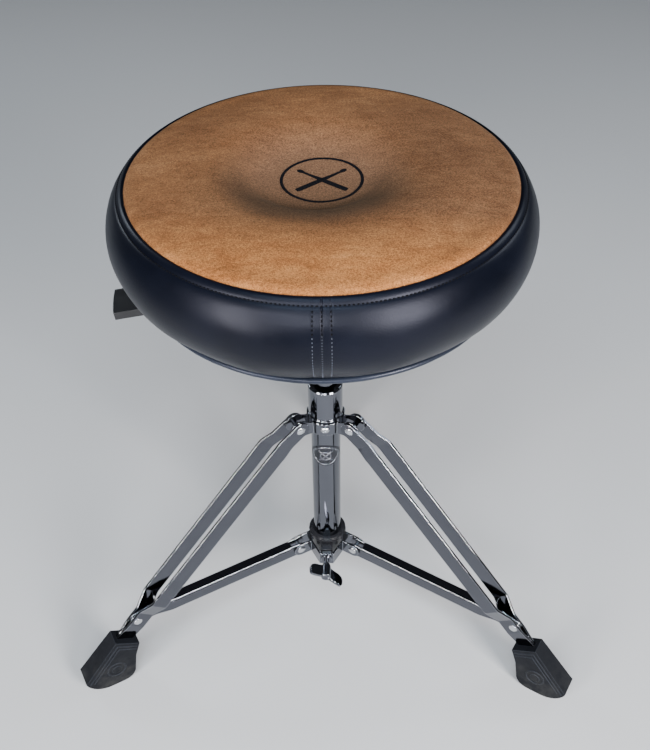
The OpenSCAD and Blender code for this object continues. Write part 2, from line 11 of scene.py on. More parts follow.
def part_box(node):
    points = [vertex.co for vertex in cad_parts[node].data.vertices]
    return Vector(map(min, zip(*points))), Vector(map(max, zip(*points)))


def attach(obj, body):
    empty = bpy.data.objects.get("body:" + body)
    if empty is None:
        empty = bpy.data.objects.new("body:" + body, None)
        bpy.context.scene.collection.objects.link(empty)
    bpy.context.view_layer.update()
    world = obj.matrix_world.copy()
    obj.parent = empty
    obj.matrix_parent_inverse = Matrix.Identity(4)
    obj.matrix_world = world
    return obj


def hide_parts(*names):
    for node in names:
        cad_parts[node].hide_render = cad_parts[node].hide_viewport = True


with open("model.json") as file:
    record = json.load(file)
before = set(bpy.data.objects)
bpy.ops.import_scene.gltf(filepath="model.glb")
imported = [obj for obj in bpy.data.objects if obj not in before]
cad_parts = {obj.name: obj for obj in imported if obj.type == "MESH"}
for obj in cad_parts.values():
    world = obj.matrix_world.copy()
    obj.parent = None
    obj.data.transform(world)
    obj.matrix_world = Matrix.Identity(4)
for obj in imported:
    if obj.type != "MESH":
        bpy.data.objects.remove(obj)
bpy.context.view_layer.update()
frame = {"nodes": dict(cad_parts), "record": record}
nodes = frame["nodes"]


# ---------------------------------------------------------------- material helpers


class Shader:
    """A Principled material with short calls for the nodes it needs."""

    def __init__(self, name, color, roughness=0.5, metallic=0.0, **sockets):
        self.mat = bpy.data.materials.new(name)
        self.mat.use_nodes = True
        self.tree = self.mat.node_tree
        self.bsdf = self.tree.nodes["Principled BSDF"]
        self.mat.diffuse_color = (*color, 1)
        self.set("Base Color", (*color, 1))
        self.set("Roughness", roughness)
        self.set("Metallic", metallic)
        for socket, value in sockets.items():
            self.set(socket.replace("_", " "), value)
        self.coords = self.node("ShaderNodeTexCoord").outputs["Object"]
        self.normal = None

    def node(self, kind, **inputs):
        made = self.tree.nodes.new(kind)
        for socket, value in inputs.items():
            self.feed(made.inputs[socket.replace("_", " ")], value)
        return made

    def feed(self, socket, value):
        if isinstance(value, bpy.types.NodeSocket):
            self.tree.links.new(value, socket)
        else:
            socket.default_value = value

    def set(self, socket, value):
        self.feed(self.bsdf.inputs[socket], value)

    def stretch(self, x, y, z):
        return self.node("ShaderNodeMapping", Vector=self.coords, Scale=(x, y, z)).outputs[0]

    def noise(self, scale, detail=3.0, rough=0.5, distortion=0.0, at=None):
        made = self.node(
            "ShaderNodeTexNoise", Vector=at or self.coords, Scale=scale, Detail=detail,
            Roughness=rough, Distortion=distortion,
        )
        return made.outputs[0]

    def cells(self, scale, feature="F1", at=None):
        made = self.node("ShaderNodeTexVoronoi", Vector=at or self.coords, Scale=scale)
        made.feature = feature
        return made.outputs["Distance"]

    def math(self, operation, a, b):
        made = self.node("ShaderNodeMath")
        made.operation = operation
        self.feed(made.inputs[0], a)
        self.feed(made.inputs[1], b)
        return made.outputs[0]

    def span(self, value, low, high, to_low=0.0, to_high=1.0):
        made = self.node(
            "ShaderNodeMapRange", Value=value, From_Min=low, From_Max=high, To_Min=to_low, To_Max=to_high
        )
        return made.outputs[0]

    def ramp(self, value, stops):
        made = self.node("ShaderNodeValToRGB", Fac=value)
        points = made.color_ramp.elements
        while len(points) < len(stops):
            points.new(0.5)
        for point, (place, color) in zip(points, stops):
            point.position = place
            point.color = (*color, 1)
        return made.outputs[0]

    def mix(self, factor, a, b, blend="MIX"):
        made = self.tree.nodes.new("ShaderNodeMix")
        made.data_type = "RGBA"
        made.blend_type = blend
        for index, value in ((0, factor), (6, a), (7, b)):
            if isinstance(value, tuple) and len(value) == 3:
                value = (*value, 1)
            self.feed(made.inputs[index], value)
        return made.outputs[2]

    def height(self):
        return self.node("ShaderNodeSeparateXYZ", Vector=self.coords).outputs[2]

    def soften(self, radius):
        """Rounds the look of sharp edges."""
        made = self.node("ShaderNodeBevel", Radius=radius)
        made.samples = 4
        self.normal = made.outputs[0]
        self.set("Normal", self.normal)

    def edges(self, flat_dot, round_dot, amount):
        """A mask of the softened edges: where the rounded normal leaves the flat one."""
        made = self.node("ShaderNodeVectorMath", Vector=self.normal)
        made.operation = "DOT_PRODUCT"
        self.feed(made.inputs[1], self.node("ShaderNodeNewGeometry").outputs["Normal"])
        return self.span(made.outputs["Value"], flat_dot, round_dot, 0.0, amount)

    def bump(self, value, distance, strength=1.0):
        made = self.node("ShaderNodeBump", Height=value, Distance=distance, Strength=strength)
        if self.normal:
            self.feed(made.inputs["Normal"], self.normal)
        self.normal = made.outputs[0]
        self.set("Normal", self.normal)


def make_chrome(name, color, smooth, waviness, edge):
    s = Shader(name, color, smooth, 1.0)
    s.soften(edge)
    wipe = s.noise(26, 4, 0.6)
    fine = s.noise(900, 2, at=s.stretch(1, 1, 0.15))
    smears, grains = s.span(wipe, 0.35, 0.75, smooth, smooth + 0.07), s.span(fine, 0.55, 0.8, 0.0, 0.05)
    s.set("Roughness", s.math("ADD", smears, grains))
    body = s.ramp(wipe, [(0.35, color), (0.75, tuple(c * 0.9 for c in color))])
    # Softened edges painted near white: a painted highlight along every rounded edge
    s.set("Base Color", s.mix(s.edges(0.99, 0.88, 0.9), body, (0.80, 0.83, 0.90)))
    s.bump(s.noise(34, 1.5), waviness)
    s.bump(s.cells(420), 0.00001, 0.25)
    return s.mat


def make_plain_steel():
    s = Shader("hardened_steel", (0.42, 0.42, 0.43), 0.32, 1.0)
    s.soften(0.0003)
    turned = s.noise(60, 3, at=s.stretch(1, 1, 30))
    s.set("Roughness", s.span(turned, 0.3, 0.7, 0.24, 0.42))
    s.set("Base Color", s.ramp(s.noise(40, 4), [(0.35, (0.33, 0.32, 0.31)), (0.7, (0.48, 0.48, 0.49))]))
    s.bump(turned, 0.00003, 0.4)
    return s.mat


def make_powder_coat():
    s = Shader("black_powder_coat", (0.018, 0.018, 0.02), 0.42, Coat_Weight=0.15, Coat_Roughness=0.3)
    s.soften(0.0006)
    peel = s.noise(520, 3)
    tones = [(0.35, (0.013, 0.013, 0.015)), (0.75, (0.028, 0.028, 0.031))]
    s.set("Base Color", s.ramp(s.noise(18, 5), tones))
    s.set("Roughness", s.span(peel, 0.3, 0.7, 0.36, 0.5))
    s.bump(peel, 0.00012, 0.6)
    return s.mat


def make_plastic(name, color, grain, smooth):
    s = Shader(name, color, smooth, Specular_IOR_Level=0.5)
    s.soften(0.0008)
    texture = s.cells(grain)
    lighter = tuple(min(1.0, c * 1.9 + 0.003) for c in color)
    s.set("Base Color", s.ramp(s.noise(35, 5), [(0.3, color), (0.8, lighter)]))
    s.set("Roughness", s.span(s.noise(90, 3), 0.3, 0.7, smooth - 0.05, smooth + 0.09))
    s.bump(texture, 0.00005, 0.5)
    return s.mat


def make_rubber():
    s = Shader("boot_rubber", (0.008, 0.009, 0.012), 0.66, Specular_IOR_Level=0.17)
    s.soften(0.0012)
    dust = s.math("MULTIPLY", s.span(s.height(), 0.05, 0.0), s.span(s.noise(70, 6, 0.65), 0.42, 0.72))
    skin = s.mix(s.noise(22, 4), (0.003, 0.0036, 0.0056), (0.0065, 0.0075, 0.0105))
    # Softened edges painted lighter: a painted highlight along the ridges and outline
    skin = s.mix(s.edges(0.995, 0.93, 0.8), skin, (0.030, 0.034, 0.044))
    s.set("Base Color", s.mix(s.math("MULTIPLY", dust, 0.35), skin, (0.09, 0.088, 0.082)))
    s.set("Roughness", s.span(s.noise(120, 4), 0.3, 0.7, 0.58, 0.78))
    s.bump(s.noise(1500, 3, 0.7), 0.0002, 0.55)
    s.bump(s.noise(120, 4), 0.0003, 0.35)
    return s.mat


def make_badge():
    s = Shader("badge_enamel", (0.022, 0.024, 0.03), 0.3, 0.6)
    s.soften(0.0004)
    s.set("Roughness", s.span(s.noise(140, 4), 0.3, 0.7, 0.24, 0.42))
    s.set("Base Color", s.ramp(s.noise(60, 4), [(0.3, (0.016, 0.018, 0.023)), (0.8, (0.045, 0.048, 0.06))]))
    s.bump(s.noise(700, 2), 0.00004, 0.5)
    return s.mat


def make_plywood():
    s = Shader("birch_plywood", (0.55, 0.38, 0.22), 0.6)
    plies = s.math("PINGPONG", s.math("MULTIPLY", s.height(), 650.0), 1.0)
    grain = s.noise(90, 5, 0.6, at=s.stretch(0.12, 1, 1))
    face = s.ramp(grain, [(0.3, (0.42, 0.27, 0.14)), (0.7, (0.64, 0.47, 0.29))])
    s.set("Base Color", s.mix(s.span(plies, 0.3, 0.7, 0.0, 0.4), face, (0.28, 0.16, 0.08)))
    s.bump(grain, 0.0002, 0.5)
    return s.mat


def make_dust_cloth():
    s = Shader(
        "dust_cloth", (0.017, 0.017, 0.018), 0.92,
        Sheen_Weight=0.25, Sheen_Roughness=0.5, Specular_IOR_Level=0.2,
    )
    weave = s.cells(380)
    s.set("Base Color", s.mix(weave, (0.028, 0.028, 0.03), (0.008, 0.008, 0.009)))
    s.bump(weave, 0.0004, 0.7)
    s.bump(s.noise(25, 3), 0.001, 0.4)
    return s.mat


def make_foam():
    s = Shader("foam", (0.62, 0.53, 0.3), 0.95)
    s.set("Base Color", s.mix(s.noise(60, 5), (0.55, 0.46, 0.25), (0.7, 0.62, 0.4)))
    s.bump(s.cells(500), 0.0006, 0.8)
    return s.mat


# The dish: how far its middle is off the seat's, its width over its length, and where its front lip begins
# and ends
DISH_SHIFT = 0.0075
DISH_WIDE = 1.04
LIP_IN, LIP_OUT = 0.0475, 0.0625


def make_suede():
    s = Shader(
        "tan_suede", (0.25, 0.12, 0.05), 0.97, Specular_IOR_Level=0.08,
        Sheen_Weight=0.06, Sheen_Roughness=0.6, Sheen_Tint=(1.0, 0.72, 0.48, 1),
    )
    patches = s.noise(16, 6, 0.62, 0.5)
    strokes = s.noise(60, 5, 0.66, 0.9, at=s.stretch(0.6, 1.5, 1.0))
    mottle = s.math("ADD", s.math("MULTIPLY", patches, 0.5), s.math("MULTIPLY", strokes, 0.5))
    tan = s.ramp(mottle, [
        (0.34, (0.198, 0.080, 0.028)), (0.46, (0.274, 0.119, 0.045)),
        (0.56, (0.342, 0.158, 0.062)), (0.68, (0.420, 0.206, 0.087)),
    ])
    # Painted light and shade on the suede: darker and bluer over the middle as painted shade, brighter and
    # warmer towards the front edge as painted light, darker and greyer in the dish floor (wear and painted
    # shade), and a painted shadow on the dish's front shoulder and crease
    x, y, _ = s.node("ShaderNodeSeparateXYZ", Vector=s.coords).outputs
    across = s.math("DIVIDE", s.math("ADD", x, DISH_SHIFT), DISH_WIDE)
    squares = s.math("ADD", s.math("MULTIPLY", across, across), s.math("MULTIPLY", y, y))
    from_dish = s.math("SQRT", squares, 0.0)
    # Painted shade over the seat, a little lighter to the left
    painted_shade_level = s.span(x, 0.10, -0.14, 0.52, 0.66)
    # Painted light brightening towards the front edge
    painted_front_light = s.math("MULTIPLY", s.span(y, -0.066, -0.138), s.math("SUBTRACT", 1.02, painted_shade_level))
    painted_light_level = s.math("ADD", s.math("ADD", painted_shade_level, painted_front_light), s.span(y, 0.07, 0.16, 0.0, 0.15))
    # The tint paints the shaded part bluer and the front light warmer
    painted_light_tint = s.ramp(painted_light_level, [(0.5, (0.49, 0.515, 0.63)), (1.0, (1.04, 0.93, 0.78))])
    tan = s.mix(1.0, tan, painted_light_tint, "MULTIPLY")
    # The dish floor is painted greyer for wear and darker as painted shade
    dish_wear_and_shade = s.span(from_dish, 0.085, 0.045, 0.0, 0.55)
    tan = s.mix(dish_wear_and_shade, tan, (0.180, 0.106, 0.069))
    # Painted shadow on the shoulder in front of the dish
    toward_front = s.span(y, 0.008, -0.042)
    shaded = s.math("MULTIPLY", s.span(from_dish, 0.122, 0.066, 0.0, 0.58), toward_front)
    tan = s.mix(shaded, tan, (0.072, 0.036, 0.018))
    # Painted shadow along the dish's front crease
    off_crease = s.math("ABSOLUTE", s.math("SUBTRACT", from_dish, LIP_OUT + 0.002), 0.0)
    crease = s.math("MULTIPLY", s.span(off_crease, 0.025, 0.0), toward_front)
    tan = s.mix(s.math("MULTIPLY", crease, 0.78), tan, (0.034, 0.019, 0.011))
    fibre = s.noise(620, 5, 0.8)
    speck = s.noise(1500, 3, 0.7)
    fibre_tint = s.ramp(fibre, [(0.36, (0.34, 0.33, 0.32)), (0.64, (1.66, 1.62, 1.56))])
    speck_tint = s.ramp(speck, [(0.36, (0.4, 0.4, 0.4)), (0.66, (1.65, 1.62, 1.58))])
    tan = s.mix(0.75, tan, fibre_tint, "MULTIPLY")
    tan = s.mix(0.6, tan, speck_tint, "MULTIPLY")
    s.set("Base Color", tan)
    s.bump(fibre, 0.0009, 0.6)
    s.bump(strokes, 0.0009, 0.22)
    return s.mat


def make_vinyl(name, color, smooth, gloss):
    s = Shader(name, color, smooth, Specular_IOR_Level=gloss, Specular_Tint=(0.82, 0.84, 1.0, 1))
    grain = s.cells(760, "SMOOTH_F1")
    pores = s.noise(1400, 3, 0.6)
    broad = s.noise(20, 4)
    lighter = tuple(c * 1.8 for c in color)
    s.set("Base Color", s.ramp(broad, [(0.3, color), (0.75, lighter)]))
    wear, matt = s.span(broad, 0.3, 0.7, smooth - 0.04, smooth + 0.06), s.span(pores, 0.4, 0.7, 0.0, 0.06)
    s.set("Roughness", s.math("ADD", wear, matt))
    s.bump(grain, 0.00009, 0.45)
    s.bump(pores, 0.00006, 0.5)
    return s.mat


def make_thread(name, color):
    s = Shader(name, color, 0.85, Specular_IOR_Level=0.1)
    twist = s.noise(2400, 2)
    s.set("Base Color", s.mix(twist, tuple(c * 0.6 for c in color), tuple(c * 1.7 for c in color)))
    s.bump(twist, 0.0001, 0.6)
    return s.mat


def make_ink():
    s = Shader("black_ink", (0.004, 0.006, 0.010), 0.95, Specular_IOR_Level=0.05)
    fibre = s.noise(950, 4, 0.75)
    s.set("Base Color", s.ramp(fibre, [(0.45, (0.0025, 0.004, 0.007)), (0.8, (0.03, 0.022, 0.018))]))
    s.bump(fibre, 0.0006, 0.5)
    return s.mat


# Both chromes get dark base colours, a painted dark reflection of an unlit surround, the strips darker still
CHROME = make_chrome("chrome", (0.135, 0.141, 0.162), 0.03, 0.00006, 0.0006)
STRIP_CHROME = make_chrome("chrome_strip", (0.105, 0.109, 0.127), 0.045, 0.00016, 0.0009)
FASTENER = make_chrome("chrome_fastener", (0.62, 0.635, 0.66), 0.1, 0.00004, 0.0005)
STEEL = make_plain_steel()
COAT = make_powder_coat()
NYLON = make_plastic("black_nylon", (0.010, 0.010, 0.012), 600, 0.24)
GRIP = make_plastic("lever_plastic", (0.005, 0.005, 0.006), 850, 0.42)
RUBBER = make_rubber()
BADGE = make_badge()
PLYWOOD = make_plywood()
DUST_CLOTH = make_dust_cloth()
FOAM = make_foam()
SUEDE = make_suede()
VINYL = make_vinyl("black_vinyl", (0.0014, 0.0019, 0.0045), 0.34, 0.17)
# The welt's vinyl is painted lighter and bluer than the band's, a painted highlight along its rim; its higher
# gloss adds the rest
WELT = make_vinyl("welt_vinyl", (0.010, 0.013, 0.021), 0.28, 0.3)
THREAD = make_thread("black_thread", (0.0025, 0.0025, 0.0035))
# A lighter thread colour, a painted highlight on the lower seam stitches
PAINTED_LIT_THREAD = make_thread("thread_painted_lit", (0.055, 0.061, 0.078))
INK = make_ink()

BY_SLOT = {
    "chrome": CHROME, "plain_steel": STEEL, "black_steel": COAT, "nylon": NYLON, "badge": BADGE,
    "plywood": PLYWOOD, "foam": FOAM, "vinyl": VINYL, "suede": SUEDE, "piping": WELT,
    "dust_cloth": DUST_CLOTH, "grip": GRIP, "rubber": RUBBER,
}
for part in frame["record"]["subparts"]:
    made = nodes[part["node"]]
    look = BY_SLOT[part["material_slot"]]
    if "_strip_" in part["node"] or part["node"].endswith("_brace"):
        look = STRIP_CHROME
    if part["node"].endswith(("_rivets", "_screws")):
        look = FASTENER
    made.data.materials.clear()
    made.data.materials.append(look)


# ---------------------------------------------------------------- mesh helpers


def mesh_piece(name, verts, faces, material, body, slot, smooth=True):
    data = bpy.data.meshes.new(name)
    data.from_pydata([tuple(v) for v in verts], [], faces)
    data.validate()
    data.update()
    if smooth:
        data.shade_smooth()
    data.materials.append(material)
    made = bpy.data.objects.new(name, data)
    bpy.context.scene.collection.objects.link(made)
    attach(made, body)
    return made


def grid_faces(rows, cols, wrap, start=0, flip=False):
    """Quads over a rows x cols grid of points, closed in the column direction if wrap."""
    faces = []
    for i in range(rows - 1):
        for j in range(cols if wrap else cols - 1):
            k = (j + 1) % cols
            here, after = start + i * cols, start + (i + 1) * cols
            quad = (here + j, here + k, after + k, after + j)
            faces.append(quad[::-1] if flip else quad)
    return faces


def smooth_interp(x, known_x, known_y):
    """Cubic interpolation of rows known_y at places known_x (Catmull-Rom)."""
    known_y = np.asarray(known_y, float)
    i = np.clip(np.searchsorted(known_x, x) - 1, 0, len(known_x) - 2)
    t = ((x - known_x[i]) / (known_x[i + 1] - known_x[i])).reshape((-1,) + (1,) * (known_y.ndim - 1))
    a, b = known_y[np.maximum(i - 1, 0)], known_y[i]
    c, d = known_y[i + 1], known_y[np.minimum(i + 2, len(known_x) - 1)]
    return b + 0.5 * t * (c - a + t * (2 * a - 5 * b + 4 * c - d + t * (3 * (b - c) + d - a)))


def step(x, low, high):
    t = np.clip((x - low) / (high - low), 0, 1)
    return t * t * (3 - 2 * t)


def bell(x, width):
    return np.exp(-((x / width) ** 2))


def waves(angle, along, seed, count=14, low=2, high=9):
    """A smooth, repeatable unevenness between about -1 and 1."""
    rng = np.random.default_rng(seed)
    total = 0
    for _ in range(count):
        total = total + np.cos(rng.integers(low, high) * angle + rng.uniform(0, 2 * np.pi)) * np.cos(
            rng.uniform(15, 70) * along + rng.uniform(0, 2 * np.pi)
        )
    return total / math.sqrt(count)


# ---------------------------------------------------------------- the seat's form

band_low, band_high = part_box("side_band")
_, top_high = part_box("suede_top")
seat_r = band_high[0]
seam_r = top_high[0]
seam_z = band_high[2] + 0.002
base_r = 0.161
base_z = band_low[2]
bulge_z = base_z + 0.5043 * (seam_z - base_z)
crown = 0.0078
dish = 0.0143
seam_turn = math.radians(270 + 1.7)


def circle_through(a, b, c):
    d = 2 * (a[0] * (b[1] - c[1]) + b[0] * (c[1] - a[1]) + c[0] * (a[1] - b[1]))
    aa, bb, cc = (p[0] ** 2 + p[1] ** 2 for p in (a, b, c))
    x = (aa * (b[1] - c[1]) + bb * (c[1] - a[1]) + cc * (a[1] - b[1])) / d
    y = (aa * (c[0] - b[0]) + bb * (a[0] - c[0]) + cc * (b[0] - a[0])) / d
    return x, y, math.hypot(a[0] - x, a[1] - y)


arc_x, arc_y, arc_r = circle_through((seam_r, seam_z), (seat_r, bulge_z), (base_r, base_z))
arc_from = math.atan2(seam_z - arc_y, seam_r - arc_x)
arc_to = math.atan2(base_z - arc_y, base_r - arc_x)
band_length = arc_r * (arc_from - arc_to)


def top_height(r, angle):
    """Height of the suede: crowned, with a flat-floored dish whose front shoulder is steep near the floor."""
    across, along = (r * np.cos(angle) + DISH_SHIFT) / DISH_WIDE, r * np.sin(angle)
    from_dish = np.hypot(across, along)
    front = 0.5 + 0.5 * np.cos(np.arctan2(along, across) - math.radians(266))
    sharp = np.clip(0.06 + 0.94 * front**1.3, 0, 1)
    wide = np.exp(-((from_dish / 0.070) ** 4.2))
    lip = 1 - step(from_dish, LIP_IN, LIP_OUT)
    shoulder = 1 - step(from_dish, 0.034, 0.104)
    fold = 0.46 * lip + 0.54 * shoulder
    return seam_z + crown * (1 - (r / seam_r) ** 4) - dish * ((1 - sharp) * wide + sharp * fold)


def form(rows_top, rows_band, angles, inset=0.0):
    """Points of the seat's form: rings of the top from the middle out, then down the side band."""
    a = angles[None, :]
    r = rows_top[:, None] * (1 - inset / seam_r)
    top = np.stack([r * np.cos(a), r * np.sin(a), top_height(r, a) - inset + 0 * a], -1)
    turn = (arc_from - rows_band / arc_r)[:, None]
    rad = arc_x + (arc_r - inset) * np.cos(turn) + 0 * a
    band = np.stack([rad * np.cos(a), rad * np.sin(a), arc_y + (arc_r - inset) * np.sin(turn) + 0 * a], -1)
    return top, band


COARSE_TOP = np.array([0.0] + list(np.linspace(0.012, 0.158, 13)) + [0.17])
COARSE_BAND = np.linspace(0, band_length, 12)
COARSE_COLS = 96
PRESSURE_FRAMES = 20
MOST_MOVE = 0.005
coarse_angles = np.linspace(0, 2 * np.pi, COARSE_COLS, endpoint=False)


def inflate():
    """Fills the seat's cover with air pressure, and returns how far each point of the coarse form moves."""
    inset = 0.003
    top, band = form(COARSE_TOP, COARSE_BAND, coarse_angles, inset)
    rings = np.concatenate([top[1:], band[1:]])
    verts = [top[0, 0]] + list(rings.reshape(-1, 3)) + [np.array([0, 0, base_z])]
    rows = len(rings)
    faces = grid_faces(rows, COARSE_COLS, True, 1, True)
    last = 1 + (rows - 1) * COARSE_COLS
    for j in range(COARSE_COLS):
        k = (j + 1) % COARSE_COLS
        faces.append((0, 1 + j, 1 + k))
        faces.append((len(verts) - 1, last + k, last + j))
    data = bpy.data.meshes.new("inflating")
    data.from_pydata([tuple(v) for v in verts], [], faces)
    data.update()
    soft = bpy.data.objects.new("inflating", data)
    bpy.context.scene.collection.objects.link(soft)
    held = soft.vertex_groups.new(name="held")
    held.add([0, len(verts) - 1] + list(range(last, last + COARSE_COLS)), 1.0, "REPLACE")
    held.add(list(range(1, 1 + 4 * COARSE_COLS)), 1.0, "REPLACE")
    seam_row = 1 + (len(COARSE_TOP) - 2) * COARSE_COLS
    held.add(list(range(seam_row, seam_row + COARSE_COLS)), 0.9, "REPLACE")
    cloth = soft.modifiers.new("Cloth", "CLOTH")
    cloth.settings.vertex_group_mass = "held"
    cloth.settings.quality = 6
    cloth.settings.mass = 0.3
    cloth.settings.tension_stiffness = 25
    cloth.settings.compression_stiffness = 20
    cloth.settings.shear_stiffness = 8
    cloth.settings.bending_stiffness = 2
    cloth.settings.use_pressure = True
    cloth.settings.uniform_pressure_force = 4
    cloth.settings.effector_weights.gravity = 0
    cloth.point_cache.frame_start = 1
    cloth.point_cache.frame_end = PRESSURE_FRAMES
    before = np.array(verts)
    for number in range(1, PRESSURE_FRAMES + 1):
        bpy.context.scene.frame_set(number)
    shaped = soft.evaluated_get(bpy.context.evaluated_depsgraph_get()).data
    after = np.array([v.co[:] for v in shaped.vertices])
    bpy.data.objects.remove(soft)
    bpy.context.scene.frame_set(1)
    move = after - before
    size = np.linalg.norm(move, axis=1, keepdims=True)
    move *= np.minimum(1, MOST_MOVE / np.maximum(size, 1e-9))
    outer = np.concatenate([np.repeat(before[:1], COARSE_COLS, 0), before[1:-1]])
    shift = np.concatenate([np.repeat(move[:1], COARSE_COLS, 0), move[1:-1]]).reshape(-1, COARSE_COLS, 3)
    angle = np.arctan2(outer[:, 1], outer[:, 0]).reshape(-1, COARSE_COLS)
    out = shift[..., 0] * np.cos(angle) + shift[..., 1] * np.sin(angle)
    up = shift[..., 2]
    return out, up


def fine_shift(out, up, known_rows, rows, angles):
    """The coarse moves on a finer grid of rows and angles."""
    wrapped = np.concatenate([coarse_angles - 2 * np.pi, coarse_angles, coarse_angles + 2 * np.pi])
    result = []
    for field in (out, up):
        across = smooth_interp(rows, known_rows, field)
        tiled = np.concatenate([across] * 3, axis=1).T
        result.append(smooth_interp(angles, wrapped, tiled).T)
    return result


coarse_rows = np.concatenate([COARSE_TOP, seam_r + COARSE_BAND[1:]])
push_out, push_up = inflate()
# The form is measured at its outside, so the mean swell is taken off and the unevenness stays.
widest = len(COARSE_TOP) + 5
swell = push_out[widest].mean()
puff = np.sin(np.pi * np.clip(np.arange(len(coarse_rows)) - len(COARSE_TOP) + 1, 0, 11) / 11)
push_out = push_out - swell * puff[:, None]
lift = push_up[: len(COARSE_TOP)].mean(axis=1, keepdims=True)
push_up[: len(COARSE_TOP)] -= 0.6 * lift


# Columns close up at the front seam, where the stitches are.
near = np.radians(np.arange(-3.6, 3.6, 0.1))
spread = np.radians(np.arange(3.6, 356.4, 0.75))
angles = np.concatenate([near, spread]) + seam_turn
angles = np.mod(angles, 2 * np.pi)
angles = np.sort(angles)
COLS = len(angles)


def seam_distance(angle, r):
    return (np.mod(angle - seam_turn + np.pi, 2 * np.pi) - np.pi) * r


# ---- suede top
SUEDE_THICK = 0.0018
rows = np.concatenate([
    np.linspace(0, 0.036, 13), np.arange(0.038, 0.076, 0.0016), np.arange(0.078, 0.158, 0.003),
    np.arange(0.159, 0.1702, 0.00093),
])
rows = rows[rows < seam_r - 1e-4]
rows = np.append(rows, seam_r)
top, _ = form(rows, COARSE_BAND, angles)
out, up = fine_shift(push_out, push_up, coarse_rows, rows, angles)
a = angles[None, :]
r = rows[:, None]
height = top[..., 2] + up
height += 0.0007 * waves(a, r, 3) * step(r, 0.02, 0.07) * (1 - step(r, 0.150, 0.168))
height -= 0.0022 * step(r, seam_r - 0.0042, seam_r)
height += 0.0006 * bell(r - seam_r + 0.009, 0.005)
# Slack drawn towards the dish on the left, where the hide gathers
gather = bell(seam_distance(a + math.radians(52), 0.07), 0.022) * bell(r - 0.072, 0.016)
height -= 0.0011 * gather
rad = r + 0 * a
upper = np.stack([rad * np.cos(a), rad * np.sin(a), height], -1)
lower = upper - np.array([0, 0, SUEDE_THICK])
verts = np.concatenate([upper[1:].reshape(-1, 3), lower[1:].reshape(-1, 3), upper[0, :1], lower[0, :1]])
ring = (len(rows) - 1) * COLS
faces = grid_faces(len(rows) - 1, COLS, True, 0, True) + grid_faces(len(rows) - 1, COLS, True, ring)
edge_up, edge_low = ring - COLS, 2 * ring - COLS
for j in range(COLS):
    k = (j + 1) % COLS
    faces.append((2 * ring, j, k))
    faces.append((2 * ring + 1, ring + k, ring + j))
    faces.append((edge_up + k, edge_up + j, edge_low + j, edge_low + k))
suede = mesh_piece("suede_cover", verts, faces, SUEDE, "seat", "suede")
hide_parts("suede_top")
TOP_ROWS, TOP_HEIGHT = rows, height


def on_top(x, y):
    """Height of the finished suede at a point."""
    r = np.hypot(x, y)
    turn = np.mod(np.arctan2(y, x), 2 * np.pi)
    column = np.argmin(np.abs(angles - turn))
    return float(np.interp(r, TOP_ROWS, TOP_HEIGHT[:, column]))


# ---- vinyl side band
VINYL_THICK = 0.0014
STITCH_ROW = 0.0088
SEAM_ROW = 0.0072
rows = np.concatenate([
    np.arange(0, 0.0135, 0.0006), np.arange(0.0145, 0.026, 0.0013),
    np.arange(0.028, band_length - 0.012, 0.003), np.linspace(band_length - 0.012, band_length, 12),
])
_, band = form(COARSE_TOP, rows, angles)
out, up = fine_shift(push_out, push_up, coarse_rows, seam_r + rows, angles)
turn = (arc_from - rows / arc_r)[:, None] + 0 * a
s = rows[:, None] + 0 * a
rad = np.hypot(band[..., 0], band[..., 1]) + out
height = band[..., 2] + up
side = seam_distance(a, rad)
press = -0.0028 * bell(s, 0.0013)
press += 0.0004 * bell(s - 0.0048, 0.0026)
press -= 0.00035 * bell(s - STITCH_ROW, 0.0012)
press += 0.0002 * bell(s - 0.014, 0.004)
press -= 0.0016 * step(s, band_length - 0.0055, band_length)
press += 0.0008 * bell(s - band_length + 0.011, 0.005)
off_edges = step(s, 0.012, 0.03) * (1 - step(s, band_length - 0.02, band_length))
press += 0.0006 * waves(a, s, 8, 18, 3, 14) * off_edges
below = step(s, 0.001, 0.004)
press -= 0.0007 * bell(side, 0.0006) * below
press += 0.0001 * bell(np.abs(side) - 0.0036, 0.0024) * below
press -= 0.00018 * bell(np.abs(side) - SEAM_ROW, 0.0009) * below
press -= 0.0006 * bell(side, 0.016) * step(s, 0.02, 0.05)
# Small pleats where the lower edge is pulled under the board
pleat = np.cos(46 * a + 1.3 * np.cos(5 * a)) * bell(s - band_length + 0.004, 0.006)
press += 0.0004 * pleat
rad = rad + press * np.cos(turn)
height = height + press * np.sin(turn)
outer = np.stack([rad * np.cos(a), rad * np.sin(a), height], -1)
inner_r = rad - VINYL_THICK * np.cos(turn)
inner_z = height - VINYL_THICK * np.sin(turn)
inner = np.stack([inner_r * np.cos(a), inner_r * np.sin(a), inner_z], -1)
verts = np.concatenate([outer.reshape(-1, 3), inner.reshape(-1, 3)])
count = len(rows) * COLS
faces = grid_faces(len(rows), COLS, True, 0, True) + grid_faces(len(rows), COLS, True, count)
low = (len(rows) - 1) * COLS
for j in range(COLS):
    k = (j + 1) % COLS
    faces.append((j, k, count + k, count + j))
    faces.append((low + k, low + j, count + low + j, count + low + k))
vinyl = mesh_piece("vinyl_band", verts, faces, VINYL, "seat", "vinyl")
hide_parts("side_band", "foam_core")


